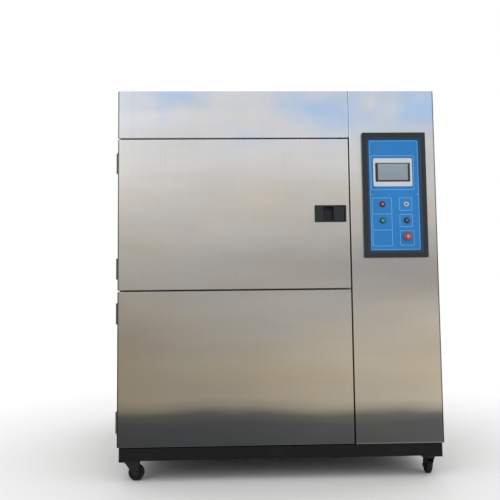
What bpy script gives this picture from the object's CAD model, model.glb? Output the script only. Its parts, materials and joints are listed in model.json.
# %% [markdown]
# # A three-zone environmental test chamber
# The chamber is a tall steel cabinet on four casters. Two insulated doors close the test space and the
# cold space, a fixed band covers the hot space above them, and a column at the right carries the
# control panel. The packed model already holds every solid with its joints, so this file only dresses
# it: each visible part gets rounded edges, a finish, and the small things that a maker adds.

# %% Load the packed model
import json
import math
from contextlib import contextmanager

import bmesh
import bpy
import numpy as np
from mathutils import Matrix, Vector


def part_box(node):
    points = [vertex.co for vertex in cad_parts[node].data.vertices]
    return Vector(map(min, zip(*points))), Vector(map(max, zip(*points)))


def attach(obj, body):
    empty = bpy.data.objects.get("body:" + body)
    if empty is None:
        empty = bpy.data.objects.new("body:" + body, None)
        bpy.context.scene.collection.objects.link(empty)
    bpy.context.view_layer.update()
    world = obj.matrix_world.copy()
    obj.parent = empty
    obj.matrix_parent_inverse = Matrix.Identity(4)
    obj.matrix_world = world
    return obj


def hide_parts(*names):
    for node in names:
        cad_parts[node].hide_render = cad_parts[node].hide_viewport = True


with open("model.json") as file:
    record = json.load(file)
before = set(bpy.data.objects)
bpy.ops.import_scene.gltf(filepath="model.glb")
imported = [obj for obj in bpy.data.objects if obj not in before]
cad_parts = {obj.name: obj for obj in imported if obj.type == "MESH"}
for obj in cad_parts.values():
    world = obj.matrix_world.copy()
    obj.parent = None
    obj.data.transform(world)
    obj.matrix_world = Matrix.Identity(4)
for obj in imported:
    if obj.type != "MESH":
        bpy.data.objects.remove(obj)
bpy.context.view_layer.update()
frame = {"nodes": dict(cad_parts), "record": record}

MM = 0.001
nodes = frame["nodes"]
home = {node: body for body, members in frame["record"]["behaviour"]["bodies"].items() for node in members}

# %% [markdown]
# ## The camera
# A photograph fixes where the camera stood. The lens and the place were worked out from the cabinet's
# own corners, so the model lies over the picture. The camera's axes are written as a matrix, because
# three angles in a row are easy to mix up.

# %% Camera
LENS, SENSOR = 43.2, 36.0
EYE = Vector((-0.2246, -3.6138, 0.8745))
YAW, PITCH, ROLL = 0.02984, 0.07209, -0.01124

forward = Vector((math.sin(YAW) * math.cos(PITCH), math.cos(YAW) * math.cos(PITCH), math.sin(PITCH)))
level = Vector((math.cos(YAW), -math.sin(YAW), 0))
lift = level.cross(forward)
right = math.cos(ROLL) * level + math.sin(ROLL) * lift
upward = math.cos(ROLL) * lift - math.sin(ROLL) * level

scene = bpy.context.scene
camera = bpy.data.objects.new("photo_view", bpy.data.cameras.new("photo_view"))
camera.data.lens, camera.data.sensor_width = LENS, SENSOR
camera.matrix_world = Matrix.Translation(EYE) @ Matrix((right, upward, -forward)).transposed().to_4x4()
scene.collection.objects.link(camera)
scene.camera = camera
print("camera looks along", tuple(round(v, 3) for v in forward))

# %% [markdown]
# ## Shader sums in Python
# A material is a net of small nodes. Wiring each Math node by hand hides the formula, so one class
# wraps an output socket and lets Python's own operators add the nodes. The reflected operators let
# a plain number stand first, as in 1 - mask.

# %% Sums of sockets
class Socket:
    """An output socket that can stand in a sum: each operator adds one Math node."""

    def __init__(self, finish, output):
        self.finish, self.output = finish, output

    def math(self, operation, *values):
        return self.finish.node("ShaderNodeMath", {"operation": operation}, values)

    def __add__(self, other):
        return self.math("ADD", self, other)

    def __sub__(self, other):
        return self.math("SUBTRACT", self, other)

    def __rsub__(self, other):
        return self.math("SUBTRACT", other, self)

    def __mul__(self, other):
        return self.math("MULTIPLY", self, other)

    def __truediv__(self, other):
        return self.math("DIVIDE", self, other)

    def __rtruediv__(self, other):
        return self.math("DIVIDE", other, self)

    def __abs__(self):
        return self.math("ABSOLUTE", self)

    __radd__, __rmul__ = __add__, __mul__

    def larger(self, other):
        return self.math("MAXIMUM", self, other)

    def above(self, edge, soft):
        """0 below the edge and 1 above it, with a straight rise of width `soft`."""
        return self.finish.node("ShaderNodeMapRange", {}, [self, edge - soft / 2, edge + soft / 2])


print("a number may stand first with", [name for name in vars(Socket) if name.startswith("__r")])

# %% [markdown]
# ## One material in a few lines
# A finish is a Principled shader for one slot of the record, and the nodes that drive it. Blender
# takes a line to make a node, one for each setting and one for each link, so a net of thirty nodes
# fills a page. This class makes any node in one line. Constants stay on the shader's own sockets,
# and only what really changes over the surface is linked.

# %% Materials
class Finish:
    """A Principled material for one slot of the record."""

    def __init__(self, name, slot, **constants):
        self.slot = slot
        self.material = bpy.data.materials.new(name)
        self.material.use_nodes = True
        self.tree = self.material.node_tree
        self.shader = self.tree.nodes["Principled BSDF"]
        self.set(**constants)
        self.place = self.node("ShaderNodeTexCoord", {}, {}, "Object")

    def feed(self, entry, value):
        """Links an output to a socket, or writes a plain value on it."""
        if isinstance(value, Socket):
            self.tree.links.new(value.output, entry)
        else:
            entry.default_value = value

    def set(self, **values):
        """Feeds the shader's own sockets; an underscore stands for a space."""
        for socket, value in values.items():
            self.feed(self.shader.inputs[socket.replace("_", " ")], value)
        return self

    def node(self, kind, settings, values, output=0):
        """Any node: its settings first, then the values or links of its sockets."""
        made = self.tree.nodes.new(kind)
        for name, value in settings.items():
            if name == "stops":
                spots = made.color_ramp.elements
                while len(spots) < len(value):
                    spots.new(1)
                for spot, (position, colour) in zip(spots, value):
                    spot.position, spot.color = position, colour
            else:
                setattr(made, name, value)
        for socket, value in values.items() if isinstance(values, dict) else enumerate(values):
            self.feed(made.inputs[socket], value)
        return Socket(self, made.outputs[output])

    def axis(self, index):
        """The place along x, y or z, in metres, for the index 0, 1 or 2."""
        return self.node("ShaderNodeSeparateXYZ", {}, [self.place], index)

    def product(self, first, second):
        """Two colours or vectors multiplied number by number."""
        return self.node("ShaderNodeVectorMath", {"operation": "MULTIPLY"}, [first, second])

    def mix(self, share, first, second):
        """A colour that goes from the first to the second as the share goes from 0 to 1."""
        return self.node("ShaderNodeMix", {"data_type": "RGBA"}, {0: share, 6: first, 7: second}, 2)

    def tinted(self, colour, tone):
        """A colour made lighter or darker by a number, as a vector times that number."""
        vector = colour if isinstance(colour, Socket) else colour[:3]
        return self.node("ShaderNodeVectorMath", {"operation": "SCALE"}, {0: vector, "Scale": tone})

    def noise(self, scale, stretch=(1, 1, 1), detail=2):
        """Soft noise about 0: `scale` lumps to a metre, drawn out along the axes with a small stretch."""
        place = self.product(self.place, stretch)
        return self.node("ShaderNodeTexNoise", {}, {"Vector": place, "Scale": scale, "Detail": detail}) - 0.5

    def bump(self, height, depth):
        """A normal tilted as if the surface rose by height x depth millimetres."""
        return self.node("ShaderNodeBump", {}, {"Strength": 1.0, "Distance": depth * MM, "Height": height})

    def over(self, share, code):
        """Lays a second colour over the first wherever the share is 1."""
        first = Socket(self, self.shader.inputs["Base Color"].links[0].from_socket)
        return self.set(Base_Color=self.mix(share, first, tint(code)))


def tint(code):
    """A colour written as on a paint card, '#rrggbb', as the linear numbers that a shader needs."""
    shown = [int(code[i:i + 2], 16) / 255 for i in (1, 3, 5)]
    return (*(s / 12.92 if s <= 0.04045 else ((s + 0.055) / 1.055) ** 2.4 for s in shown), 1)


print("middle grey #808080 is", round(tint("#808080")[0], 3), "in a shader")

# %% [markdown]
# ## The floor
# A plain pale floor takes the cabinet's shadow. Lighting it until it is white would also burn out the
# steel, so further out it turns white only for the camera and for what steel or glass reflects. The
# floor near the casters still takes a shadow.

# %% Floor
FLOOR_TONE, FLOOR_HALF = 0.9, 40
WHITE_FROM, WHITE_FULL = 0.96, 2.4
WHITE = (1, 1, 1, 1)


def seen_directly(finish):
    """1 for rays from the camera, a reflection or a clear glass, and 0 for light that falls on things."""
    ray = finish.node("ShaderNodeLightPath", {}, {}, "Is Camera Ray")
    outputs = ray.output.node.outputs
    glossy, clear = (Socket(finish, outputs[name]) for name in ("Is Glossy Ray", "Is Transmission Ray"))
    return ray.larger(glossy + clear)


paving = Finish("pale_floor", None, Base_Color=(FLOOR_TONE, FLOOR_TONE, FLOOR_TONE, 1), Roughness=0.8)
distance = paving.node("ShaderNodeVectorMath", {"operation": "LENGTH"}, [paving.place], "Value")
far = distance.above((WHITE_FROM + WHITE_FULL) / 2, WHITE_FULL - WHITE_FROM)
mixed = paving.node("ShaderNodeMixShader", {}, {
    0: seen_directly(paving) * far,
    1: Socket(paving, paving.shader.outputs[0]),
    2: paving.node("ShaderNodeEmission", {}, {"Color": WHITE, "Strength": 1.0})})
paving.feed(paving.tree.nodes["Material Output"].inputs["Surface"], mixed)

floor_mesh = bpy.data.meshes.new("floor")
floor_corners = [(x * FLOOR_HALF, y * FLOOR_HALF, 0) for x, y in ((-1, -1), (1, -1), (1, 1), (-1, 1))]
floor_mesh.from_pydata(floor_corners, [], [(0, 1, 2, 3)])
floor_mesh.materials.append(paving.material)
floor = bpy.data.objects.new("floor", floor_mesh)
scene.collection.objects.link(floor)
print("floor:", 2 * FLOOR_HALF, "m wide, white from", WHITE_FULL, "m out")

# %% [markdown]
# ## Sky and lamps
# Steel shows what stands round it, so hard lamps would leave hard spots on it. Four large, weak area
# lamps and an even sky let a colour render about as it is written. As on the floor, only the sky that
# is seen directly or in a reflection is white.

# %% Sky and lamps
SKY_TONE = 0.72
LAMP_AIM = Vector((0, 0, 0.9))
LAMPS = {  # place in metres, side in metres, power in watts
    "key_lamp": ((-3.9, -3.9, 4.3), 5.6, 80),
    "fill_lamp": ((4.8, -2.8, 2.8), 5.4, 40),
    "top_lamp": ((0.4, 0.8, 5.0), 6.4, 42),
    "rear_lamp": ((1.2, 5.2, 3.5), 5.4, 48),
}


class Sky(Finish):
    """The world's own nodes, with the same helpers as a material."""

    def __init__(self, world):
        world.use_nodes = True
        self.tree = world.node_tree


scene.world = bpy.data.worlds.new("studio")
sky = Sky(scene.world)
background = sky.tree.nodes["Background"].inputs
sky.feed(background["Strength"], seen_directly(sky) * (1 - SKY_TONE) + SKY_TONE)
sky.feed(background["Color"], WHITE)
scene.view_settings.view_transform = "Standard"

for name, (spot, size, power) in LAMPS.items():
    lamp = bpy.data.lights.new(name, "AREA")
    lamp.size, lamp.energy = size, power
    holder = bpy.data.objects.new(name, lamp)
    holder.location = spot
    holder.rotation_euler = (LAMP_AIM - Vector(spot)).to_track_quat("-Z", "Y").to_euler()
    scene.collection.objects.link(holder)
print("lamps:", len(LAMPS))

# %% [markdown]
# ## Stainless sheet
# Brushed stainless shows three things at once: a fine grain in the rolling direction, broad soft
# clouds where the sheet isn't quite flat, and a change of tone from top to bottom as it takes on its
# surroundings. A picture of steel would repeat and couldn't follow each sheet. So the tone is a colour
# ramp over the height, the grain is noise drawn out along the sheet, and a shallow bump makes the
# reflections swim a little. The front also mirrors patches of sky, and its bends catch the dark and
# the light beside it.

# %% Steel finishes
FOOT, HEAD, FACE = 0.16, 1.86, -0.75
BEND = 4.5 * MM
RIM_X, RIM_DARK = 0.764, 0.85
LIP_RISE, LIP_SHINE = 6 * MM, 1.4
SKY_BLUE, SKY_LINE = "#a6bfe0", 1.66
FRONT_TONES = [
    (0.17, "#484949"), (0.265, "#4b4c4b"), (0.308, "#5b5b54"), (0.341, "#8d8475"), (0.38, "#a09685"), (0.54, "#a39987"),
    (0.65, "#a39a8c"), (0.77, "#a09a90"), (0.89, "#9e9992"), (1.05, "#a5a19b"), (1.21, "#b5b1ab"), (1.33, "#c0bbb4"),
    (1.45, "#c9c7c3"), (1.56, "#cecece"), (1.73, "#cccdd1"), (1.84, "#c6cad1"),
]
SIDE_TONES = [(0.17, "#74726c"), (0.4, "#9a948a"), (1.0, "#abaaa5"), (1.4, "#babab8"), (1.84, "#bdc0c5")]
ROOF_TONES = [(1.8, "#a4a7ab"), (1.9, "#a9acb0")]
INNER_TONES = [(0.2, "#bcbdbd"), (1.8, "#cbcdce")]
UPRIGHT_GRAIN, CROSS_GRAIN = (1, 1, 0.006), (0.006, 1, 1)


def front_surroundings(f, colour, tone):
    """Colour goes to sky blue in patches near the top. Tone x (1 + lean) x (1 - rim) x (1 + lip): the lean runs from
    side to side, the rim is the dark outer bend, and the lip is the bright one along the foot."""
    side, depth, height = (f.axis(index) for index in range(3))
    patches = f.noise(2.9, (1, 1, 1.3), 3) * 4.2 + side * 0.35 + 0.3
    colour = f.mix(patches.above(0.5, 1) * height.above(SKY_LINE, 0.24), colour, tint(SKY_BLUE))
    lean = side * (0.34 - height.above(0.86, 0.24) * 0.4)
    rim = abs(side).above(RIM_X, 4 * MM) * (1 - depth.above(FACE + BEND, 3 * MM))
    lip = 1 - height.above(FOOT + LIP_RISE, 3 * MM)
    return colour, tone * (lean + 1) * (1 - rim * RIM_DARK) * (lip * LIP_SHINE + 1)


def steel(name, slot, tones, grain=UPRIGHT_GRAIN, swim=0.6, brush=0.12, front=False):
    """Brushed sheet. Colour = ramp(height + clouds) x hue x (1 + clouds + waves + streaks + hairs). tones: (height in
    metres, colour); swim: depth of the hollows in millimetres; brush: share of it in the grain."""
    f = Finish(name, slot, Metallic=0.9)
    cloud = f.noise(1.7, (0.8, 1, 1.1))
    wave = f.noise(3.4, (0.3, 1, 1.5), 3)
    streak = f.noise(70, tuple(3 * g if g < 1 else g for g in grain))
    hair = f.noise(620, grain, 1)
    share = (f.axis(2) + cloud * 0.06 + wave * 0.07 - FOOT) / (HEAD - FOOT)
    stops = [((z - FOOT) / (HEAD - FOOT), tint(code)) for z, code in tones]
    colour = f.node("ShaderNodeValToRGB", {"stops": stops}, [share])
    tone = cloud * 0.18 + wave * 0.34 + streak * 0.03 + hair * 0.04 + 1
    if front:
        colour, tone = front_surroundings(f, colour, tone)
    drift = f.noise(2.6, (0.7, 1, 1.3), 3)
    hue = f.node("ShaderNodeCombineXYZ", {}, [drift * 0.2 + 1, drift * 0.04 + 1, 1 - drift * 0.24])
    relief = cloud * 30 + wave * 8 + streak * brush + hair * (brush * 0.4)
    return f.set(Base_Color=f.tinted(f.product(colour, hue), tone), Roughness=0.3 + streak * 0.1 + hair * 0.08,
                 Normal=f.bump(relief, swim))


front_steel = steel("front_steel", "outer_steel", FRONT_TONES, front=True)
side_steel = steel("side_steel", "outer_steel", SIDE_TONES)
roof_steel = steel("roof_steel", "outer_steel", ROOF_TONES, CROSS_GRAIN)
inner_steel = steel("inner_steel", "inner_steel", INNER_TONES, swim=0.4, brush=0.05)
door_back_steel = steel("door_back_steel", "door_core", INNER_TONES, swim=0.4, brush=0.05)
print("nodes in the front's steel:", len(front_steel.tree.nodes))

# %% [markdown]
# ## Paint, plastic, rubber and small metal
# Every other finish is one colour with a texture: enamel has an orange-peel skin, moulded plastic a
# fine grain, rubber a dull bloom, cast or plated metal a cloudy shine. Each could be its own net of
# nodes, but one function writes them all, with the size of the grain, the depth of its bump, and how
# far tone and shine wander. So the finishes stay easy to compare in one table.

# %% Other finishes
def coated(name, slot, code, rough, grain=900, depth=0.04, mottle=0.12, worn=None, **constants):
    """One colour with texture. Colour = code x (1 + mottle), dusted or worn where broad noise is high. grain: lumps
    to a metre; depth: millimetres."""
    f = Finish(name, slot, **constants)
    broad, fine = f.noise(9), f.noise(grain, detail=1)
    colour = f.tinted(tint(code), broad * mottle * 2 + fine * mottle + 1)
    if worn:
        colour = f.mix((broad + f.noise(60) * 0.5).above(0.16, 0.14) * 0.5, colour, tint(worn))
    return f.set(Base_Color=colour, Roughness=broad * 0.16 + fine * 0.1 + rough, Normal=f.bump(fine, depth))


FINISHES = {
    "black_paint": coated("black_enamel", "black_paint", "#0f1011", 0.5, 420, worn="#1b1c1e", Specular_IOR_Level=0.16),
    "caster_steel": coated("caster_black", "caster_steel", "#121314", 0.45, 500, worn="#242527",
                           Specular_IOR_Level=0.3),
    "tyre": coated("nylon_tyre", "caster_tyre", "#0e0f10", 0.6, 300, worn="#1f2021", Specular_IOR_Level=0.25),
    "hinge": coated("hinge_satin", "hinge_steel", "#4a4d4f", 0.34, 1200, Metallic=0.95),
    "screw": coated("screw_plating", "hinge_steel", "#a6a7a9", 0.28, 1500, Metallic=1.0),
    "latch": coated("latch_grain", "latch_black", "#1b1f24", 0.42, 1600, 0.06, Specular_IOR_Level=0.3),
    "gap_rubber": coated("gap_rubber", "latch_black", "#17181a", 0.7, 500, worn="#262729", Specular_IOR_Level=0.3),
    "machinery": coated("machine_enamel", "machinery", "#24262a", 0.35, 300, Coat_Weight=0.3),
    "motor": coated("motor_enamel", "motor_paint", "#52707f", 0.4, 350, worn="#6b8592"),
    "copper": coated("copper_tube", "copper_pipe", "#c07b55", 0.3, 500, mottle=0.3, worn="#8a5a44", Metallic=1.0),
    "fin": coated("fin_sheet", "fin_metal", "#c3c7cb", 0.34, 900, Metallic=0.9),
    "heater": coated("heat_tinted", "heater_steel", "#8c8177", 0.38, 200, mottle=0.35, worn="#6d6a86", Metallic=0.9),
    "fan": coated("fan_sheet", "fan_metal", "#b1b4b8", 0.32, 800, Metallic=0.9),
    "fan_black": coated("fan_moulding", "fan_black", "#232427", 0.45),
    "board": coated("device_grey", "board", "#cfcfc8", 0.5, 1100),
    "frame": coated("charcoal_grain", "panel_frame", "#1b2126", 0.42, 1500, 0.06, 0.08, Specular_IOR_Level=0.35),
    "ink": coated("pale_ink", "panel_plate", "#8cc8f8", 0.4, 1500, 0.02, 0.05),
    "bezel": coated("bezel_grey", "screen", "#cdd2d9", 0.35, 1600, 0.02, 0.03),
    "mask": coated("screen_mask", "screen", "#202327", 0.3, 900, 0.01, 0.05, Specular_IOR_Level=0.4),
    "collar": coated("collar_chrome", "collar_metal", "#c9ccd0", 0.16, 700, 0.01, 0.04, Metallic=1.0),
    "key": coated("key_barrel", "collar_metal", "#b9c0c8", 0.2, 700, 0.01, 0.04, Metallic=1.0),
    "slot": coated("slot_shadow", "button_black", "#0c0d10", 0.5),
    "stop": coated("stop_gloss", "stop_red", "#93263a", 0.28, 600, 0.01, 0.05, Coat_Weight=0.3),
    "green": coated("green_gloss", "button_green", "#0b7150", 0.22, 600, 0.01, 0.05, Coat_Weight=0.4),
    "black": coated("navy_gloss", "button_black", "#161b3a", 0.22, 600, 0.01, 0.05, Coat_Weight=0.4),
    "lamp": coated("lamp_lens", "lamp_red", "#8f2434", 0.2, 500, 0.01, 0.1, Coat_Weight=0.5),
    "dark_collar": coated("collar_dark", "button_black", "#22262c", 0.3, 700, 0.01, 0.05, Specular_IOR_Level=0.4),
    "seal": coated("silicone_seal", "seal", "#8f4a3a", 0.6, 500, 0.05, worn="#a86a58"),
    "wool": coated("mineral_wool", "insulation", "#d8cfa9", 0.9, 260, 0.6, 0.3),
    "fitting": coated("turned_fitting", "fitting_metal", "#b5b7ba", 0.26, 900, Metallic=0.95),
    "plug": coated("plug_silicone", "plug_silicone", "#dad4c6", 0.62, 400, 0.06, worn="#c6bda9"),
}
print("other finishes:", len(FINISHES))

# %% [markdown]
# ## The blue film
# The control panel's plate is covered with a printed blue film. It could take the plastic's formula,
# but print never lies quite evenly: the blue wanders slowly over the whole plate. So it has its own
# slow noise, a speck as fine as the film's grain, and a hard coat that gives it a soft shine.

# %% Film finish
film = Finish("blue_film", "panel_plate", Coat_Weight=0.15, Coat_Roughness=0.3, Specular_IOR_Level=0.3)
blot, speck = film.noise(5), film.noise(1300, detail=1)
film.set(Base_Color=film.tinted(tint("#1f7cc4"), blot * 0.25 + speck * 0.08 + 1), Roughness=blot * 0.1 + 0.42,
         Normal=film.bump(speck, 0.02))
print("film nodes:", len(film.tree.nodes))

# %% [markdown]
# ## Surfaces from numbers
# A shape here is a grid of points: two parameters run over it, a formula gives each point, and
# neighbours are joined by quads. Pushing points by hand in the viewport can't be repeated, and a loop
# over points is slow, so whole arrays are worked out at once. A grid that goes round a shape closes
# on itself, which only means that the last row is joined to the first.

# %% Grids
def quads(rows, columns, round_rows=False, round_columns=False):
    """Faces between neighbours of a rows x columns grid of points; a round way closes on itself."""
    r = np.arange(rows - (not round_rows))[:, None]
    c = np.arange(columns - (not round_columns))[None, :]
    r1, c1 = (r + 1) % rows, (c + 1) % columns
    return np.stack([r * columns + c, r * columns + c1, r1 * columns + c1, r1 * columns + c], -1).reshape(-1, 4)


print("a grid of 4 x 5 points has", len(quads(4, 5)), "faces, and", len(quads(4, 5, True)), "if its rows close")

# %% [markdown]
# ## From a mesh to a piece
# A piece is one object that moves with one body of the frame and stands for the nodes it hides. Its
# grids are joined into one mesh, points that meet are merged, and faces are turned outwards. Smooth
# shading alone would blur every edge, so edges that turn by more than the crease angle stay sharp.

# %% Pieces
MERGE, SPECK = 2e-6, 1e-7  # metres: points closer than this are one, and edges shorter than this go


@contextmanager
def merged(mesh):
    """Opens a mesh for bmesh's operators with its points that meet merged, and puts the result back."""
    work = bmesh.new()
    work.from_mesh(mesh)
    bmesh.ops.remove_doubles(work, verts=work.verts, dist=MERGE)
    yield work
    work.to_mesh(mesh)
    work.free()


def settle(name, mesh, body, finish, stands_for, crease, wall=0.0):
    """Makes the object, shades it smooth up to the crease angle, and ties it to its body, finish and nodes. With a
    wall, the free edges of the sheet stay crisp and it gets that thickness."""
    mesh.shade_smooth()
    mesh.set_sharp_from_angle(angle=math.radians(crease))
    mesh.materials.clear()
    mesh.materials.append(finish.material)
    piece = bpy.data.objects.new(name, mesh)
    scene.collection.objects.link(piece)
    if wall:
        edge_of, crisp = np.empty(len(mesh.loops), np.int32), np.empty(len(mesh.edges), bool)
        mesh.loops.foreach_get("edge_index", edge_of)
        free = np.bincount(edge_of, minlength=len(mesh.edges)) == 1
        mesh.attributes["sharp_edge"].data.foreach_get("value", crisp)
        mesh.attributes["sharp_edge"].data.foreach_set("value", crisp | free)
        sheet = piece.modifiers.new("sheet", "SOLIDIFY")
        sheet.thickness, sheet.offset = wall, -1
    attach(piece, body)
    if stands_for:
        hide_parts(*stands_for)
    return piece


def add_piece(name, shapes, body, finish, stands_for=(), crease=32, wall=0.0):
    """One piece from (points, faces) shapes in metres. Points that meet are merged, and closed shapes are turned
    outwards; a shape with a wall is an open sheet that faces outwards already."""
    starts = np.cumsum([0] + [len(points) for points, _ in shapes])
    faces = np.concatenate([some + start for (_, some), start in zip(shapes, starts)])
    mesh = bpy.data.meshes.new(name)
    mesh.from_pydata(np.concatenate([points for points, _ in shapes]).tolist(), [], faces.tolist())
    with merged(mesh) as work:
        bmesh.ops.dissolve_degenerate(work, edges=work.edges, dist=SPECK)
        if not wall:
            bmesh.ops.recalc_face_normals(work, faces=work.faces)
    return settle(name, mesh, body, finish, stands_for, crease, wall)


def flatten(piece):
    """Large faces set the normals at their edges, so that a bend's highlight stays on the bend."""
    flat = piece.modifiers.new("flat", "WEIGHTED_NORMAL")
    flat.keep_sharp, flat.weight = True, 100
    return piece


# %% [markdown]
# ## Folded front panels
# A door skin is a flat sheet with its four sides folded back. The fold is never sharp: it has the
# bend radius of the press, and that thin round edge is what draws a bright line beside each dark
# joint. A bevelled box would give the bend but a dead flat face. So one grid carries on past the
# face: it goes round the bend, then straight back, and at a corner the rows and columns share one
# eighth of a sphere. The face itself is hollow by a few tenths of a millimetre here and there, as
# thin sheet on foam always is.

# %% Folded sheet
FACE_CELLS, BEND_STEPS = 36, 5
HOLE_CLEAR = 4 * MM
HOLLOW_FADE = 0.06


def swell(x, z):
    """Depth of the hollows: three slow waves that cross each other, never less than 0."""
    waves = np.sin(5.1 * x + 1.3 * z) + np.sin(2.2 * x - 4.3 * z + 1.1) + 0.6 * np.sin(8.3 * x + 6.1 * z + 0.7)
    return 0.16 * MM * (2.6 + waves)


def grid_lines(low, high, cut):
    """Even lines over the flat of the face, without those close to the sides of a hole, and with those sides."""
    lines = np.linspace(low + BEND, high - BEND, FACE_CELLS + 1)
    if cut is None:
        return lines
    return np.sort(np.concatenate([lines[np.abs(lines[:, None] - np.asarray(cut)).min(1) > HOLE_CLEAR], cut]))


def beyond(count):
    """For rows that carry on past both ends of `count` lines: the nearest line, the steps past it, and the side."""
    index = np.arange(-BEND_STEPS - 1, count + BEND_STEPS + 1)
    return np.clip(index, 0, count - 1), np.maximum(-index, index - count + 1).clip(0), np.sign(index - count / 2)


def folded_panel(x, z, front, backs, hole=None):
    """The skin of a pan. Lines of the grid beyond the face by k steps lie on the bend, out by BEND sin(a) and back by
    BEND (1 - cos(a)), then on the return; k is the larger of the two counts, so a corner is an eighth of a sphere.
    The returns end at the four depths in backs: left, right, bottom and top."""
    xs, zs = grid_lines(*x, hole and hole[0]), grid_lines(*z, hole and hole[1])
    (i, past_x, side_x), (j, past_z, side_z) = beyond(len(xs)), beyond(len(zs))
    a, b = np.broadcast_arrays(past_x[:, None].astype(float), past_z[None, :].astype(float))
    k = np.maximum(a, b)
    angle = np.pi / 2 * np.minimum(k, BEND_STEPS) / BEND_STEPS
    turn = np.where(a >= b, np.pi / 4 * b / np.maximum(a, 1), np.pi / 2 - np.pi / 4 * a / np.maximum(b, 1))
    px = xs[i][:, None] + side_x[:, None] * BEND * np.sin(angle) * np.cos(turn)
    pz = zs[j][None, :] + side_z[None, :] * BEND * np.sin(angle) * np.sin(turn)
    back = np.where(a >= b, np.where(side_x < 0, backs[0], backs[1])[:, None],
                    np.where(side_z < 0, backs[2], backs[3])[None, :])
    py = front + np.where(k > BEND_STEPS, back - front, BEND * (1 - np.cos(angle)))
    edge = np.minimum(np.minimum(px - x[0], x[1] - px), np.minimum(pz - z[0], z[1] - pz)).clip(0)
    py = py + np.where(k > 0, 0, swell(px, pz) * np.minimum(edge / HOLLOW_FADE, 1))
    points = np.stack([px, py, pz], -1).reshape(-1, 3)
    faces = quads(*px.shape)[:, ::-1]
    if hole:
        middle = points[faces].mean(1)
        inside = (middle[:, 0] > hole[0][0]) & (middle[:, 0] < hole[0][1])
        inside &= (middle[:, 2] > hole[1][0]) & (middle[:, 2] < hole[1][1])
        faces = faces[~inside]
    return points, faces


print("hollows are", round(swell(0.0, 1.0) / MM, 2), "mm deep at one place and", round(swell(0.3, 0.6) / MM, 2),
      "mm at another")

# %% [markdown]
# ## The four skins
# The door skins, the band over them and the column's cover are all this folded sheet. The upper
# door's has a pocket for the latch and the column's a window for the control panel. Each hole stays a
# little smaller than what covers it, as a fitter leaves it, so no gap can show.

# %% Front panels
SHEET = 2 * MM
RETURN = 25 * MM
FRONT_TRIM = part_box("right_side_panel")[0].y + 5 * MM


def inset(node, lap):
    """The sides of a hole that lies `lap` inside a node's outline, seen from the front: (x, x) and (z, z)."""
    low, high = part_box(node)
    return [(low.x + lap, high.x - lap), (low.z + lap, high.z - lap)]


def front_panel(node, backs=None, hole=None):
    low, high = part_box(node)
    shape = folded_panel((low.x, high.x), (low.z, high.z), low.y, backs or [high.y] * 4, hole)
    return flatten(add_piece(node + "_sheet", [shape], home[node], front_steel, [node], wall=SHEET))


column_low, column_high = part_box("column_front_panel")
column_backs = [column_high.y, FRONT_TRIM - 1 * MM, column_low.y + RETURN, column_low.y + RETURN]
panels = [
    front_panel("upper_door_skin", hole=inset("latch_housing", 4 * MM)),
    front_panel("lower_door_skin"),
    front_panel("top_front_panel"),
    front_panel("column_front_panel", column_backs, inset("control_plate", 15 * MM)),
]
print("front panels:", len(panels), "with", sum(len(panel.data.polygons) for panel in panels), "faces")

# %% [markdown]
# ## Rounded copies of sheet-metal and cast parts
# Many parts already have the right shape, but a real edge is never perfectly sharp, and without its
# thin highlight a part looks like paper. Drawing them again would only bring new mistakes. Instead a
# copy of the node is merged, its flat triangles are joined, and a Bevel modifier rounds every edge
# that turns by more than the crease angle. The right side and the roof end a few millimetres short
# at the front, where the skins' bends pass before them.

# %% Rounded copies
FLAT_ANGLE, CREASE = math.radians(0.8), 40
CORNERS = ("front_left", "front_right", "rear_left", "rear_right")


def rounded_copy(node, finish, width, front=-math.inf):
    """The node's own shape, y = max(y, front), with its edges rounded by `width` millimetres."""
    mesh = nodes[node].data.copy()
    mesh.name = node + "_body"
    with merged(mesh) as work:
        bmesh.ops.dissolve_limit(work, angle_limit=FLAT_ANGLE, verts=work.verts, edges=work.edges)
    points = np.empty(3 * len(mesh.vertices), np.float32)
    mesh.vertices.foreach_get("co", points)
    points[1::3] = np.maximum(points[1::3], np.float32(front))
    mesh.vertices.foreach_set("co", points)
    mesh.update()
    piece = settle(node + "_body", mesh, home[node], finish, [node], CREASE)
    edges = piece.modifiers.new("edges", "BEVEL")
    edges.width, edges.segments, edges.limit_method = width * MM, 2, "ANGLE"
    edges.angle_limit = math.radians(CREASE)
    return flatten(piece)


ROUNDED = {
    "base_frame": (FINISHES["black_paint"], 2.5),
    "left_side_panel": (side_steel, 0.6),
    "rear_panel": (side_steel, 0.6),
    "door_frame": (inner_steel, 0.6),
    "air_baffle": (inner_steel, 0.5),
    "shelf_runners": (inner_steel, 0.6),
    "upper_door_inner": (door_back_steel, 3),
    "lower_door_inner": (door_back_steel, 3),
    "cabinet_hinges": (FINISHES["hinge"], 0.8),
    "upper_door_hinges": (FINISHES["hinge"], 0.8),
    "lower_door_hinges": (FINISHES["hinge"], 0.8),
    "latch_housing": (FINISHES["latch"], 1.2),
    "latch_paddle": (FINISHES["latch"], 1.0),
    "latch_bolt": (FINISHES["fitting"], 1.5),
    "latch_keeper": (FINISHES["fitting"], 0.6),
    "caster_plates": (FINISHES["caster_steel"], 1.2),
    **{"caster_fork_" + corner: (FINISHES["caster_steel"], 1.0) for corner in CORNERS},
    "control_plate": (film, 0.4),
    "wall_fittings": (FINISHES["fitting"], 0.8),
    "port_plug": (FINISHES["plug"], 2.0),
    "right_side_panel": (side_steel, 0.7, FRONT_TRIM),
    "top_panel": (roof_steel, 0.9, FACE + BEND),
}
for node, settings in ROUNDED.items():
    rounded_copy(node, *settings)
print("rounded copies:", len(ROUNDED))

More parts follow.
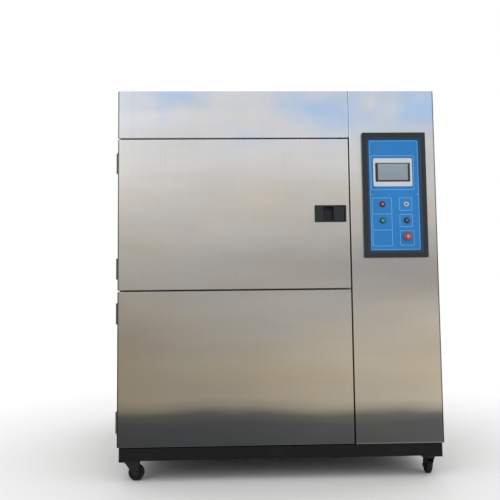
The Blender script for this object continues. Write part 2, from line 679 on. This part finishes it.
# %% [markdown]
# ## Frames and blocks with round edges
# The rest of the front is made of two simple things. A frame, such as a bezel, a seal or a printed
# outline, is a closed profile carried round between two rounded rectangles. A block is a box whose
# edges are parts of one small sphere. Both could be a bevelled box with a hole cut out, but a grid
# gives clean quads and an exact radius.

# %% Frames and blocks
def from_front(node):
    """A node's box as seen from the front: its middle (x, z), its size (x, z), and its front and back y."""
    low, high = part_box(node)
    return ((low.x + high.x) / 2, (low.z + high.z) / 2), (high.x - low.x, high.z - low.z), (low.y, high.y)


def outline(middle, size, corner, steps):
    """Points of a rounded rectangle in an upright plane, (x, z), anticlockwise from the right side."""
    a = np.linspace(0, np.pi / 2, steps + 1)[None, :] + np.arange(4)[:, None] * np.pi / 2
    sx, sz = np.array([1, -1, -1, 1])[:, None], np.array([1, 1, -1, -1])[:, None]
    x = middle[0] + sx * (size[0] / 2 - corner) + corner * np.cos(a)
    z = middle[1] + sz * (size[1] / 2 - corner) + corner * np.sin(a)
    return np.stack([x.reshape(-1), z.reshape(-1)], -1)


def loft_frame(inner, outer, profile, width, steps=6):
    """A closed profile carried round between two rounded rectangles: its point (o, y) lies at the share o / width
    of the way from the inner outline to the outer one, at depth y."""
    a, b = outline(*inner, steps), outline(*outer, steps)
    profile = np.asarray(profile, float)
    share = (profile[:, 0] / width)[:, None, None]
    flat = (1 - share) * a[None] + share * b[None]
    depth = np.broadcast_to(profile[:, 1, None], flat.shape[:2])
    points = np.stack([flat[..., 0], depth, flat[..., 1]], -1)
    return points.reshape(-1, 3), quads(len(profile), len(a), True, True)


def round_box(low, high, radius, steps=3):
    """A block with round edges: a sphere's point u is moved out to sign(u) (half - radius) + radius u, octant by
    octant, and the two flat ends are closed with one face each."""
    low, high = np.asarray(low, float), np.asarray(high, float)
    half = (high - low) / 2
    radius = min(radius, 0.98 * half.min())
    quarter = np.linspace(0, np.pi / 2, steps + 1)
    across = (quarter[None, :] + np.arange(4)[:, None] * np.pi / 2).reshape(-1)
    corner_x, corner_y = (np.repeat(signs, steps + 1) for signs in ([1, -1, -1, 1], [1, 1, -1, -1]))
    tall = np.concatenate([quarter - np.pi / 2, quarter])
    corner_z = np.repeat([-1, 1], steps + 1)
    points = np.stack([
        corner_x * (half[0] - radius) + radius * np.cos(tall)[:, None] * np.cos(across),
        corner_y * (half[1] - radius) + radius * np.cos(tall)[:, None] * np.sin(across),
        (corner_z * (half[2] - radius) + radius * np.sin(tall))[:, None] + 0 * across], -1)
    rows, columns = points.shape[:2]
    ends = np.arange(4) * (steps + 1)
    faces = np.concatenate([quads(rows, columns, round_columns=True), [ends[::-1], ends + (rows - 1) * columns]])
    return points.reshape(-1, 3) + (low + high) / 2, faces


def front_box(middle, size, depths, radius, steps=3):
    """A round box given as seen from the front, with the same three values that from_front gives."""
    (x, z), (width, height), (near, far) = middle, size, depths
    return round_box((x - width / 2, near, z - height / 2), (x + width / 2, far, z + height / 2), radius, steps)


print("a round box has", len(round_box((0, 0, 0), (1, 1, 1), 0.1)[1]), "faces")

# %% [markdown]
# ## The printed outlines
# Pale lines on the film go round the screen and the groups of switches. They could be painted in the
# material, but a line that thin needs a mask as fine as the print. As thin raised bands, the way
# screen printing leaves them, they are sharp from any distance and follow their own rectangles.

# %% Outlines on the plate
plate_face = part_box("control_plate")[0].y
INK, LINE = 0.12 * MM, 1.5 * MM
INK_DEPTHS = (plate_face - INK, plate_face)
LEFT_GROUP = (455, 550, 1094, 1329)
PRINTED = [(447, 683, 1077, 1609, 8), (453, 662, 1368, 1536, 6), LEFT_GROUP,
           (587, 649, 1267, 1329), (587, 649, 1187, 1248), (587, 655, 1097, 1168)]
DIVIDERS = (1250, 1172)


def printed_box(x0, x1, z0, z1, corner=4):
    """A band of ink along a rounded rectangle, given by its sides in millimetres."""
    middle = ((x0 + x1) / 2 * MM, (z0 + z1) / 2 * MM)
    size = ((x1 - x0) * MM, (z1 - z0) * MM)
    inner = (middle, (size[0] - 2 * LINE, size[1] - 2 * LINE), max(corner * MM - LINE, 0.5 * MM))
    band = [(0, plate_face), (0, plate_face - INK), (LINE, plate_face - INK), (LINE, plate_face)]
    return loft_frame(inner, (middle, size, corner * MM), band, LINE)


group_left, group_right = LEFT_GROUP[:2]
group_mid, group_width = (group_left + group_right) / 2 * MM, (group_right - group_left) * MM
shapes = [printed_box(*box) for box in PRINTED]
shapes += [front_box((group_mid, z * MM), (group_width, LINE), INK_DEPTHS, 0.05 * MM, 1) for z in DIVIDERS]
add_piece("panel_outlines", shapes, "cabinet", FINISHES["ink"], crease=20)
print("printed outlines:", len(shapes))

# %% [markdown]
# ## The panel's frame
# The frame is one moulding: its outer corners are rounded, its face is flat, and a slope leads down
# to the film. Four bars would show mitres that a moulding doesn't have, so one profile is carried
# round between its inner and outer outline. The slope mirrors the film, so it gets a blue tint.

# %% Control frame
BAR, SLOPE, BACK_STEP = 32.5 * MM, 8 * MM, 10 * MM
OPENING = (245 * MM, 541 * MM)


def soft(corners, radius, steps=3, ends=False):
    """An outline with round corners: near corner c the curve (1-t)^2 a + 2t(1-t) c + t^2 b joins the points a and b
    that lie `radius` from it. With ends=True the outline is open and its two end points stay."""
    c = np.asarray(corners, float)

    def toward(q):
        way = q - c
        length = np.linalg.norm(way, axis=1, keepdims=True) + 1e-12
        return c + way / length * np.minimum(radius, 0.45 * length)

    t = np.linspace(0, 1, steps + 1)[:, None, None]
    curve = (1 - t) ** 2 * toward(np.roll(c, 1, 0)) + 2 * t * (1 - t) * c + t ** 2 * toward(np.roll(c, -1, 0))
    curve = curve.transpose(1, 0, 2)
    if ends:
        return np.concatenate([c[:1], curve[1:-1].reshape(-1, 2), c[-1:]])
    return curve.reshape(-1, 2)


moulding = FINISHES["frame"]
centre, outer_size, (face, frame_back) = from_front("control_frame")
out_x, out_z = (abs(moulding.axis(index) - middle) - size / 2 for index, middle, size in zip((0, 2), centre, OPENING))
moulding.over(1 - out_x.larger(out_z).above(SLOPE, 1 * MM), "#193a58")
profile = soft([
    (0, plate_face), (0, face + SLOPE), (SLOPE, face), (BAR, face), (BAR, frame_back), (BACK_STEP, frame_back),
    (BACK_STEP, plate_face)], 2.6 * MM, 4)
ring = loft_frame((centre, OPENING, 3 * MM), (centre, outer_size, 5 * MM), profile, BAR, 8)
add_piece("control_frame_moulding", [ring], "cabinet", moulding, ["control_frame"], crease=50)
print("control frame:", [round(v, 3) for v in outer_size])

# %% [markdown]
# ## The touch screen
# The screen has a pale bezel with a soft edge, a dark mask under its glass, and a display that is
# switched off: a grey that fades a little from top to bottom. A single box with a painted front would
# look printed, so the bezel, the mask and the display are three pieces, each a little behind the last.

# %% Touch screen
screen_mid, bezel_size, (screen_front, screen_back) = from_front("touch_screen")
GLASS_SIZE, DISPLAY_SIZE = (170 * MM, 92.5 * MM), (146 * MM, 80 * MM)
BODY_INSET, GLASS_GAP = 12 * MM, 0.3 * MM
glass_front = screen_front + 1 * MM


def smaller(size, gap):
    return size[0] - 2 * gap, size[1] - 2 * gap


edge = (bezel_size[0] - GLASS_SIZE[0]) / 2
section = soft([(0, screen_front + 3 * MM), (0, screen_front), (edge, screen_front), (edge, plate_face),
                (0, plate_face)], 1.4 * MM, 4)
shell = loft_frame((screen_mid, GLASS_SIZE, 2 * MM), (screen_mid, bezel_size, 7 * MM), section, edge)
body = front_box(screen_mid, smaller(bezel_size, BODY_INSET), (plate_face + 0.2 * MM, screen_back), 3 * MM)
add_piece("screen_bezel", [shell, body], "cabinet", FINISHES["bezel"], ["touch_screen"], crease=50)

glass = front_box(screen_mid, smaller(GLASS_SIZE, GLASS_GAP), (glass_front, glass_front + 1.5 * MM), 0.6 * MM)
add_piece("screen_glass", [glass], "cabinet", FINISHES["mask"])

display = Finish("display_grey", "screen", Coat_Weight=0.6, Coat_Roughness=0.1, Roughness=0.35)
fade = (display.axis(2) - screen_mid[1]) * 2.2 + display.noise(12) * 0.2 + 1
display.set(Base_Color=display.tinted(tint("#8793a0"), fade), Normal=display.bump(display.noise(2400, detail=0), 0.01))
display_mid = (screen_mid[0] + 1 * MM, screen_mid[1] + 2 * MM)
pane = front_box(display_mid, DISPLAY_SIZE, (glass_front - 0.12 * MM, glass_front + 0.2 * MM), 0.1 * MM, 1)
add_piece("screen_display", [pane], "cabinet", display)
print("screen:", [round(v, 3) for v in bezel_size])

# %% [markdown]
# ## Switch collars
# Each switch sits in a collar with a rolled rim, a threaded barrel through the plate and a nut behind
# it. A tube with a bevel would miss the rim's roll. A lathe is the natural tool: the profile is drawn
# once, its corners are softened, and it is carried round its axis. The key switch's collar is chrome,
# the others are dark.

# %% Collars
FRONT = (0, -1, 0)
BORES = {"key_rotor": 8, "green_button": 10, "black_button": 10, "indicator_lamp": 10, "emergency_stop": 10}
collar_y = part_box("switch_collars")[0].y
places = {node: from_front(node) for node in BORES}


def with_sides(axis):
    """An axis with two more directions, square to it and to each other."""
    axis = np.asarray(axis, float)
    side = np.array([0.0, 0.0, 1.0]) if abs(axis[2]) < 0.5 else np.array([1.0, 0.0, 0.0])
    return axis, side, np.cross(axis, side)


def lathe(profile, centre, axis, steps=48, ripple=None):
    """A turned shape: profile point (r, h) in millimetres goes to centre + h axis + r (cos a side + sin a top).
    ripple(a, r, h) may scale the radius round the turn, for ribs."""
    profile = np.asarray(profile, float)
    axis, side, top = with_sides(axis)
    a = np.linspace(0, 2 * np.pi, steps, endpoint=False)
    ring = np.cos(a)[:, None] * side + np.sin(a)[:, None] * top
    r = np.broadcast_to(profile[:, 0, None] * MM, (len(profile), steps))
    if ripple:
        r = r * ripple(a[None, :], profile[:, 0, None], profile[:, 1, None])
    points = np.asarray(centre, float) + r[..., None] * ring + (profile[:, 1, None] * MM)[..., None] * axis
    return points.reshape(-1, 3), quads(len(profile), steps, round_columns=True)


def collar(node):
    """Collar with a rolled rim, its threaded barrel through the plate, and the nut behind."""
    (x, z), bore = places[node][0], BORES[node]
    hole, r = bore + 0.3, bore + 4.5
    rim = [(hole, 3.0), (hole, 0.6), (bore + 1.6, -0.0), (r - 1.2, 0.0), (r, 1.4), (r, 3.0)]
    tube = [(bore + 2.5, 3.0), (bore + 2.5, 30), (hole, 30), (hole, 3.0)]
    return lathe(soft([*rim, *tube], 0.8, 2, ends=True), (x, collar_y, z), (0, 1, 0))


dark = [collar(node) for node in BORES if node != "key_rotor"]
add_piece("key_collar_ring", [collar("key_rotor")], "cabinet", FINISHES["collar"], ["switch_collars"], crease=30)
add_piece("switch_collar_rings", dark, "cabinet", FINISHES["dark_collar"], ["switch_collars"], crease=30)
print("collars:", len(dark) + 1)

# %% [markdown]
# ## Switches
# In the collars sit two push buttons, a lamp and the mushroom head of the emergency stop. All are
# turned parts, so the lathe makes them too: the lens gets fine ribs, the mushroom a flatter crown.
# A glossy cap shows a pale spot where it mirrors the sky. A lamp can't promise that spot in every
# view, so a second tone lies on each crown and moves with it.

# %% Switches
proud = {node: (collar_y - depths[0]) / MM for node, (_, _, depths) in places.items()}


def crown(finish, node, reach, code):
    """A second tone on the crown of a turned part, within `reach` millimetres of its axis."""
    x, z = places[node][0]
    flat = finish.product(finish.place, (1, 0, 1))
    away = finish.node("ShaderNodeVectorMath", {"operation": "DISTANCE"}, [flat, (x, 0, z)], "Value")
    finish.over(1 - away.above(reach * MM, reach * MM), code)


def cap(node, finish, corners, radius, steps, ripple=None):
    """A turned cap on its collar, from a profile whose corners get that radius."""
    x, z = places[node][0]
    turned = lathe(soft(corners, radius, steps, ends=True), (x, collar_y, z), FRONT, 64, ripple)
    return add_piece(node + "_turned", [turned], home[node], finish, [node], crease=35)


def ribs(a, r, h):
    """Radius x (1 + 0.018 cos 16a) on the part of the lens that shows, but not on its crown."""
    return 1 + 0.018 * np.cos(16 * a) * (h > 0.3) * (r > 3) * (r < 9.9)


out = proud["green_button"]
button = [(0, out - 1.2), (5, out - 0.9), (8.2, out), (10, out), (10, -22), (0, -22)]
cap("green_button", FINISHES["green"], button, 0.9, 4)
cap("black_button", FINISHES["black"], button, 0.9, 4)
crown(FINISHES["green"], "green_button", 5, "#46a98a")
crown(FINISHES["black"], "black_button", 5, "#4c5c86")

out = proud["indicator_lamp"]
lens = [(0, out), (4, out - 0.5), (8, out - 2.4), (9.6, 2.2), (10, 0.5), (10, -27), (0, -27)]
cap("indicator_lamp", FINISHES["lamp"], lens, 1.2, 4, ribs)
crown(FINISHES["lamp"], "indicator_lamp", 4, "#b8707e")

out, rim_r = proud["emergency_stop"], places["emergency_stop"][1][0] / 2 / MM
mushroom = [(0, out), (9, out - 1.2), (16.5, out - 3.6), (rim_r, out - 7), (rim_r, out - 11.2), (15, out - 12),
            (10, out - 12), (10, -22), (0, -22)]
cap("emergency_stop", FINISHES["stop"], mushroom, 2.2, 5)
crown(FINISHES["stop"], "emergency_stop", 7, "#cf8f9c")
print("switch heads stand out by", {node: round(reach, 1) for node, reach in proud.items()}, "mm")

# %% [markdown]
# ## The key switch
# A key switch has a bright barrel that is sunk a little round its middle, and a narrow slot for the
# key. Cutting the slot would need a boolean, which leaves ragged faces. At this size a thin dark bar,
# let into the barrel, reads the same, and it turns with the barrel, so the joint can be seen.

# %% Key switch
out, (key_front, _) = proud["key_rotor"], places["key_rotor"][2]
cap("key_rotor", FINISHES["key"],
    [(0, -25), (8, -25), (8, out), (2.2, out), (2.2, out - 0.6), (0, out - 0.6)], 0.5, 3)
crown(FINISHES["key"], "key_rotor", 4.5, "#1d242c")
key_slot = front_box(places["key_rotor"][0], (2 * MM, 10 * MM), (key_front - 0.08 * MM, key_front + 2 * MM), 0.4 * MM)
add_piece("key_slot", [key_slot], home["key_rotor"], FINISHES["slot"])
print("key slot rides on", home["key_rotor"])

# %% [markdown]
# ## Screws
# A cross-head screw is a low dome with a star sunk in it. The grid is a disc: the height is the dome
# less a recess wherever the point lies within either arm of the cross. A bump map would look flat
# from the side, and a boolean is slow for so many. These heads hold the side and rear panels along
# their edges.

# %% Screws of the panels
def cross_screw(centre, axis, radius, height, steps=24):
    """Rings of a disc, r from 1 to 0: height = dome(r) - recess where |x| or |y| is under the arm's half width."""
    r = np.array([1, 1, 0.93, 0.8, 0.62, 0.6, 0.42, 0.26, 0.2, 0])
    a = np.linspace(0, 2 * np.pi, steps, endpoint=False)
    flat = r[:, None] * np.stack([np.cos(a), np.sin(a)])[:, None, :]
    dome = np.array([0, 0.55, 0.8, 0.9, 0.97, 0.97, 0.99, 1, 1, 1])[:, None] + 0 * a
    arm = (np.minimum(np.abs(flat[0]), np.abs(flat[1])) < 0.17) & (r[:, None] < 0.61)
    up = dome - 0.75 * arm * (1 - 0.5 * r[:, None])
    axis, side, top = with_sides(axis)
    points = (np.asarray(centre, float) + radius * (flat[0][..., None] * side + flat[1][..., None] * top)
              + height * up[..., None] * axis)
    return points.reshape(-1, 3), quads(len(r), steps, round_columns=True)


def screw_piece(name, spots, radius, height, body, stands_for=()):
    """One piece of many heads, from (centre, axis) pairs; radius and height in millimetres."""
    heads = [cross_screw(spot, way, radius * MM, height * MM) for spot, way in spots]
    return add_piece(name, heads, body, FINISHES["screw"], stands_for, crease=35)


EDGE_IN = 14 * MM
left_low, left_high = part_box("left_side_panel")
wall_x, rear_y = -left_low.x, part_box("rear_panel")[1].y
heights = np.linspace(left_low.z + EDGE_IN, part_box("top_panel")[1].z - EDGE_IN, 5)
depths = np.linspace(left_low.y + EDGE_IN, left_high.y + SHEET - EDGE_IN, 5)
widths = np.linspace(EDGE_IN - wall_x, wall_x - EDGE_IN, 5)
heads = [((s * wall_x, y, z), (s, 0, 0)) for s in (-1, 1) for y in depths for z in heights[[0, -1]]]
heads += [((s * wall_x, depths[-1], z), (s, 0, 0)) for s in (-1, 1) for z in heights[1:4]]
heads += [((x, rear_y, z), (0, 1, 0)) for x in widths for z in heights[[0, -1]]]
heads += [((x, rear_y, z), (0, 1, 0)) for x in widths[[0, -1]] for z in heights[1:4]]
screw_piece("panel_screw_heads", heads, 5, 1.9, "cabinet", ["panel_screws"])
print("screw heads on the panels:", len(heads))

# %% [markdown]
# ## Screws of the hinges and the plate
# Each leaf of a hinge is held by three screws, two near the pin and one further out, so that they
# don't sit in one line of the sheet. The screws of the door's leaves have to swing with the door, so
# they are pieces of their own. Two small ones hold the control plate.

# %% Small screws
DOORS = ("upper_door", "lower_door")
LEAF, PIN_IN, HALF_HINGE = 3.5 * MM, 9 * MM, 50 * MM
LEAF_HOLES = ((24, -36), (40, 0), (24, 36))
pin_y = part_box("cabinet_hinges")[0].y + PIN_IN
for door in DOORS:
    low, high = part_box(door + "_hinges")
    for body, leaf, way in ((door, "door", -1), ("cabinet", "side", 1)):
        spots = [((-wall_x - LEAF, pin_y + way * reach * MM, middle + step * MM), (-1, 0, 0))
                 for middle in (low.z + HALF_HINGE, high.z - HALF_HINGE) for reach, step in LEAF_HOLES]
        screw_piece(f"{door}_hinge_screws_{leaf}", spots, 3.6, 1.0, body)
screw_piece("plate_fixings", [((x * MM, plate_face, 1345 * MM), FRONT) for x in (452, 678)], 3.2, 1.4, "cabinet")
print("screws on each hinge leaf:", len(LEAF_HOLES))

# %% [markdown]
# ## Door seals
# A chamber door closes on a silicone bulb seal: a round lip that the frame presses flat, on a broad
# foot held in the door. A plain ring would hide how it works. Its section is a closed curve, carried
# round the opening with soft corners. A low rubber strip on the lower door stands in the joint
# between the two doors and keeps dust out.

# %% Seals
SEAL_WIDTH, STRIP_CLEAR = 22 * MM, 1.5 * MM
SECTION = [(0, 0), (0, 0.35), (0.18, 0.4), (0.16, 1), (0.84, 1), (0.82, 0.4), (1, 0.35), (1, 0)]
for door in DOORS:
    middle, size, (near, far) = from_front(door + "_seal")
    section = soft([(o * SEAL_WIDTH, near + y * (far - near)) for o, y in SECTION], 2.6 * MM, 4)
    ring = loft_frame((middle, smaller(size, SEAL_WIDTH), 12 * MM), (middle, size, 26 * MM), section, SEAL_WIDTH, 8)
    add_piece(door + "_bulb_seal", [ring], door, FINISHES["seal"], [door + "_seal"], crease=60)

low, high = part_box("lower_door_skin")
strip_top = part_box("upper_door_skin")[0].z - STRIP_CLEAR
strip = round_box((low.x + 8 * MM, low.y + 14 * MM, high.z - 2 * MM), (high.x - 8 * MM, low.y + 18 * MM, strip_top),
                  1 * MM, 2)
add_piece("door_gap_strip", [strip], "lower_door", FINISHES["gap_rubber"])
print("seals:", len(DOORS), "and a gap strip that stands", round((strip_top - high.z) / MM, 1), "mm up")

# %% [markdown]
# ## Casters
# Each wheel is turned from nylon: a rounded tread, a thin web and a hub that stands out on both
# sides. A torus with a disc would miss the web, so the lathe turns it from its section. It spins on
# its own body, so it is a piece of its own, and its axle direction is the short side of its box.

# %% Wheels
for corner in CORNERS:
    node = "caster_wheel_" + corner
    low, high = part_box(node)
    across = (1, 0, 0) if high.x - low.x < high.y - low.y else (0, 1, 0)
    tread = (high.z - low.z) / 2 / MM
    hub = min(high.x - low.x, high.y - low.y) / 2 / MM
    half = [(5.1, hub), (9.5, hub), (11, 8), (13.5, 7.2), (tread - 13, 7.2), (tread - 10.5, 12.2), (tread - 4.5, 13),
            (tread - 0.6, 9.5), (tread, 4)]
    section = soft([*half, *[(r, -h) for r, h in half[::-1]]], 1.1, 3)
    tyre = lathe(np.concatenate([section, section[:1]]), (low + high) / 2, across, 56)
    add_piece(node + "_turned", [tyre], home[node], FINISHES["tyre"], [node], crease=35)
print("wheels:", len(CORNERS), "of", round(2 * tread), "mm")

# %% [markdown]
# ## What stays as it is
# Inside the cabinet the packed shapes are right already, and nobody comes close to their edges. They
# keep their meshes and only get a finish: foil-bright liners, copper and fins, enamelled motors, and
# wool in the walls.

# %% Finishes for the nodes that stay
KEPT = {
    "body_cover": inner_steel, "insulation": FINISHES["wool"], "zone_liners": inner_steel,
    "specimen_shelf": FINISHES["collar"], "heater": FINISHES["heater"], "drive_motors": FINISHES["motor"],
    "compressors": FINISHES["machinery"], "refrigerant_pipes": FINISHES["copper"], "condenser_unit": FINISHES["fin"],
    "electrical_board": FINISHES["board"], "evaporator": FINISHES["fin"], "hot_fan": FINISHES["fan"],
    "cold_fan": FINISHES["fan"], "condenser_fan": FINISHES["fan_black"], "hot_damper": FINISHES["fin"],
    "cold_damper": FINISHES["fin"],
}
for node, finish in KEPT.items():
    nodes[node].data.materials.clear()
    nodes[node].data.materials.append(finish.material)
print("nodes kept:", len(KEPT))

# %% [markdown]
# ## The sizes and the end
# A dressed model must not grow past the packed one, or it no longer fits where the part goes. Both
# boxes are written down so that they can be compared, and the last call ties every piece to its body.
